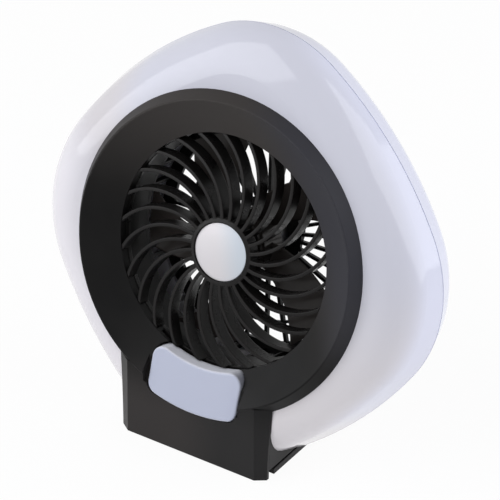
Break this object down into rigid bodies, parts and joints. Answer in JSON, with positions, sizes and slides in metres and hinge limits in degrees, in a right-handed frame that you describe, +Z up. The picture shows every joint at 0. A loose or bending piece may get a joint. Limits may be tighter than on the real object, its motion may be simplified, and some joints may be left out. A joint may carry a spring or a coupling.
{
  "type": "portable camping fan",
  "caption": "Leaning rechargeable table fan: spiral grille in a black ring, set in a diamond-shaped lamp shell on a base with a press key and folding foot.",
  "frame": {"origin": "on the floor, straight below the centre of the front rim of the ring cover", "axes": "+Z up; +X to the right of someone facing the fan; the fan blows towards -Y and leans back"},
  "size_m": [0.2334, 0.1053, 0.2223],
  "materials": {
    "milk_shell": "frosted milk-white, slightly translucent, soft gloss",
    "black_plastic": "black moulded, satin gloss",
    "impeller_plastic": "black, glossy",
    "cap_metal": "satin silver",
    "key_lens": "pale smoky translucent block",
    "white_plastic": "plain moulded",
    "board": "solder-masked circuit board",
    "led": "LED package",
    "steel": "zinc plated",
    "magnet": "ferrite, matt",
    "bronze": "sintered",
    "cell_wrap": "shrink sleeve",
    "rubber": "matt"
  },
  "bodies": {
    "housing": {"air_duct": "black_plastic", "base_housing": "black_plastic", "base_screws": "steel", "battery_cells": "cell_wrap", "battery_cradle": "black_plastic", "battery_tabs": "steel", "board_screws": "steel", "centre_cap": "cap_metal", "charge_board": "board", "charge_socket": "steel", "control_board": "board", "front_bearing": "bronze", "front_cover": "black_plastic", "front_grille": "black_plastic", "front_shell": "milk_shell", "guard_screws": "steel", "hinge_pin": "steel", "led_board": "board", "leds": "led", "motor_can": "steel", "motor_end_cap": "white_plastic", "motor_magnets": "magnet", "push_switch": "black_plastic", "rear_bearing": "bronze", "rear_guard": "black_plastic", "rear_shell": "milk_shell", "shell_screws": "steel"},
    "impeller": {"impeller": "impeller_plastic", "motor_shaft": "steel", "motor_rotor": "magnet"},
    "key": {"key_lens": "key_lens", "key_carrier": "white_plastic", "switch_plunger": "white_plastic"},
    "foot": {"foot_plate": "black_plastic", "foot_pads": "rubber"}
  },
  "joints": [
    {"name": "fan_spin", "type": "hinge", "parent": "housing", "child": "impeller", "pos_m": [0, 0, 0.11477], "axis": [0, -0.9578, 0.2874], "continuous": true},
    {"name": "key_press", "type": "slide", "parent": "housing", "child": "key", "axis": [0, 0.9578, -0.2874], "range_m": [0, 0.0015], "stiffness_N_per_m": 1500, "springref_m": -0.0005},
    {"name": "foot_fold", "type": "hinge", "parent": "housing", "child": "foot", "pos_m": [0, -0.0134, 0.0024], "axis": [-1, 0, 0], "range_deg": [0, 90]}
  ]
}
